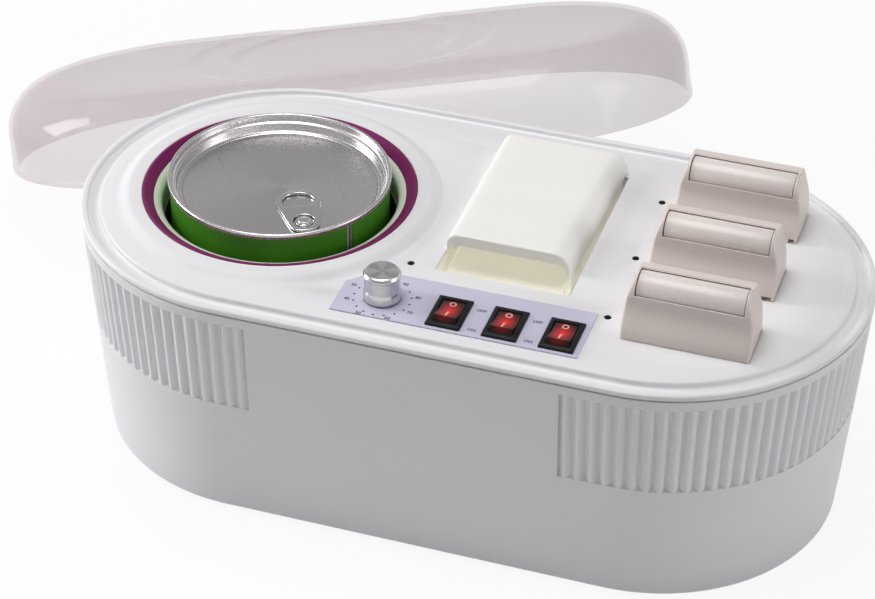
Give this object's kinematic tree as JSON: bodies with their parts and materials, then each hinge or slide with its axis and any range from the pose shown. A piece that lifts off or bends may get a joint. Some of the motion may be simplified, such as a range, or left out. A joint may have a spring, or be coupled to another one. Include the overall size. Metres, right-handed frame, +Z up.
{
  "type": "roll-on wax heater",
  "caption": "Low rounded wax warmer with a heated tin pot, roll-on cartridge wells, switches, a strip compartment with a hood, and a clear lid leaning behind it.",
  "frame": {"origin": "centre of the lower housing's flat underside, 1 mm above the bottoms of the feet", "axes": "+X along the long axis from the pot to the cartridges, -Y towards the user and the switches, +Z up"},
  "size_m": [0.4611, 0.3741, 0.1426],
  "materials": {
    "housing": "satin",
    "foot_rubber": "matte",
    "screw_steel": "satin",
    "cover": "gloss",
    "collar": "satin",
    "liner": "satin",
    "pot_aluminium": "satin",
    "heater_silicone": "matte",
    "fuse_metal": "satin",
    "tin_paint": "gloss",
    "wax": "gloss",
    "tinplate": "polished",
    "tab_metal": "polished",
    "panel": "satin",
    "thermostat_body": "matte",
    "shaft_steel": "satin",
    "knob_metal": "brushed",
    "switch_black": "satin",
    "rocker_red": "gloss",
    "pilot_black": "gloss",
    "sleeve_aluminium": "satin",
    "heater_plate": "satin",
    "cartridge_shell": "satin",
    "cartridge_head": "satin",
    "roller": "satin",
    "tray": "satin",
    "strips": "matte",
    "hood": "satin",
    "inlet_black": "matte",
    "pin_brass": "polished",
    "terminal": "matte",
    "lid_clear": "gloss"
  },
  "bodies": {
    "housing": {"lower_housing": "housing", "rubber_feet": "foot_rubber", "housing_screws": "screw_steel", "top_cover": "cover", "pot_collar": "collar", "pot_liner": "liner", "heating_pot": "pot_aluminium", "heater_band": "heater_silicone", "thermal_fuse": "fuse_metal", "control_panel": "panel", "thermostat": "thermostat_body", "thermostat_nut": "shaft_steel", "switch_case_1": "switch_black", "switch_case_2": "switch_black", "switch_case_3": "switch_black", "pilot_lights": "pilot_black", "well_sleeve_1": "sleeve_aluminium", "well_sleeve_2": "sleeve_aluminium", "well_sleeve_3": "sleeve_aluminium", "well_heater_1": "heater_plate", "well_heater_2": "heater_plate", "well_heater_3": "heater_plate", "sleeve_screws": "screw_steel", "strip_tray": "tray", "tray_screws": "screw_steel", "power_inlet": "inlet_black", "inlet_pins": "pin_brass", "terminal_block": "terminal"},
    "can": {"tin_body": "tin_paint", "wax_fill": "wax", "tin_lid": "tinplate", "pull_rivet": "tab_metal"},
    "ring_pull": {"pull_tab": "tab_metal"},
    "knob": {"knob": "knob_metal", "thermostat_shaft": "shaft_steel"},
    "hood": {"strip_hood": "hood"},
    "strips": {"strip_stack": "strips"},
    "lid": {"lid": "lid_clear"},
    "rocker_1": {"rocker_1": "rocker_red"},
    "cartridge_1": {"cartridge_body_1": "cartridge_shell", "cartridge_head_1": "cartridge_head"},
    "roller_1": {"roller_1": "roller"},
    "rocker_2": {"rocker_2": "rocker_red"},
    "cartridge_2": {"cartridge_body_2": "cartridge_shell", "cartridge_head_2": "cartridge_head"},
    "roller_2": {"roller_2": "roller"},
    "rocker_3": {"rocker_3": "rocker_red"},
    "cartridge_3": {"cartridge_body_3": "cartridge_shell", "cartridge_head_3": "cartridge_head"},
    "roller_3": {"roller_3": "roller"}
  },
  "joints": [
    {"name": "knob_turn", "type": "hinge", "parent": "housing", "child": "knob", "pos_m": [-0.0195, -0.0618, 0.1156], "axis": [0, 0, 1], "range_deg": [0, 270]},
    {"name": "rocker_1_press", "type": "hinge", "parent": "housing", "child": "rocker_1", "pos_m": [0.0106, -0.0639, 0.1132], "axis": [1, 0, 0], "range_deg": [0, 18]},
    {"name": "rocker_2_press", "type": "hinge", "parent": "housing", "child": "rocker_2", "pos_m": [0.0349, -0.0639, 0.1132], "axis": [1, 0, 0], "range_deg": [0, 18]},
    {"name": "rocker_3_press", "type": "hinge", "parent": "housing", "child": "rocker_3", "pos_m": [0.0592, -0.0639, 0.1132], "axis": [1, 0, 0], "range_deg": [0, 18]},
    {"name": "can_lift", "type": "slide", "parent": "housing", "child": "can", "axis": [0, 0, 1], "range_m": [0, 0.12]},
    {"name": "ring_pull_tip", "type": "hinge", "parent": "can", "child": "ring_pull", "pos_m": [-0.06493, -0.0301, 0.1176], "axis": [0.8695, 0.4939, 0], "range_deg": [0, 80]},
    {"name": "cartridge_1_lift", "type": "slide", "parent": "housing", "child": "cartridge_1", "axis": [0, 0, 1], "range_m": [0, 0.1]},
    {"name": "roller_1_spin", "type": "hinge", "parent": "cartridge_1", "child": "roller_1", "pos_m": [0.1087, -0.0451, 0.1342], "axis": [1, 0, 0], "continuous": true},
    {"name": "cartridge_2_lift", "type": "slide", "parent": "housing", "child": "cartridge_2", "axis": [0, 0, 1], "range_m": [0, 0.1]},
    {"name": "roller_2_spin", "type": "hinge", "parent": "cartridge_2", "child": "roller_2", "pos_m": [0.1087, -0.0001, 0.1342], "axis": [1, 0, 0], "continuous": true},
    {"name": "cartridge_3_lift", "type": "slide", "parent": "housing", "child": "cartridge_3", "axis": [0, 0, 1], "range_m": [0, 0.1]},
    {"name": "roller_3_spin", "type": "hinge", "parent": "cartridge_3", "child": "roller_3", "pos_m": [0.1087, 0.0449, 0.1342], "axis": [1, 0, 0], "continuous": true},
    {"name": "hood_lift", "type": "slide", "parent": "housing", "child": "hood", "axis": [0, 0, 1], "range_m": [0, 0.06]},
    {"name": "strips_lift", "type": "slide", "parent": "housing", "child": "strips", "axis": [0, 0, 1], "range_m": [0, 0.008]},
    {"name": "lid_lift", "type": "slide", "parent": "housing", "child": "lid", "axis": [0, 0.2079, 0.9781], "range_m": [0, 0.14]}
  ]
}
